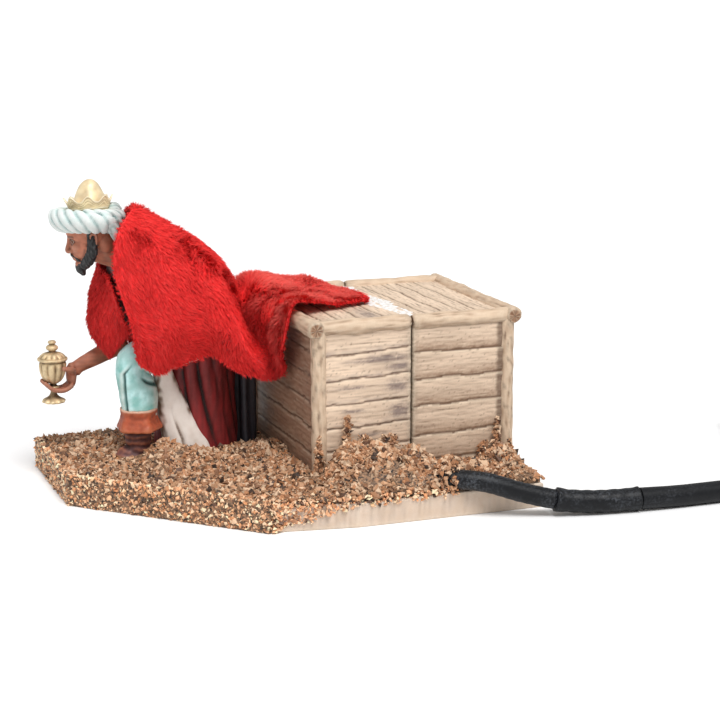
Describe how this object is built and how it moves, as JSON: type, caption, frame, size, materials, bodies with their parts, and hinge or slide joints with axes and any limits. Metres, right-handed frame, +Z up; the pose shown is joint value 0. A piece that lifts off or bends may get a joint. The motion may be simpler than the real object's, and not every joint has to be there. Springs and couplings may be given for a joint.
{
  "type": "nativity wise man figurine",
  "caption": "Bowing wise man in a turban with crown and a plush cape, holding out a goblet before a plank crate on a cork-strewn board, with a mains lead.",
  "frame": {"origin": "middle of the base board's underside", "axes": "+X along the board from the figure to the crate, +Y away from the side the lead leaves by, +Z up"},
  "size_m": [0.2989, 0.1101, 0.0905],
  "materials": {
    "bare_wood": "sawn, unfinished",
    "cork": "glued granules",
    "painted_crate": "cast resin, painted and washed brown",
    "painted_figure": "cast resin, painted and washed",
    "antique_gold": "gold paint over a dark wash",
    "red_plush": "short-pile plush",
    "shrink_tube": "satin",
    "lead_sheath": "smooth sheath",
    "strap": "matt",
    "plug": "moulded",
    "nickel": "plated"
  },
  "bodies": {
    "root": {"base_board": "bare_wood", "cork_ground": "cork", "crate_half_figure_side": "painted_crate", "crate_half_cable_side": "painted_crate", "wise_man": "painted_figure", "goblet": "antique_gold", "cape": "red_plush", "lead_sleeve": "shrink_tube", "joint_sleeve": "shrink_tube", "power_lead": "lead_sheath", "lead_coil": "lead_sheath", "lead_tail": "lead_sheath", "coil_tie": "strap", "plug_body": "plug", "plug_pin_1": "nickel", "plug_pin_2": "nickel"}
  },
  "joints": []
}
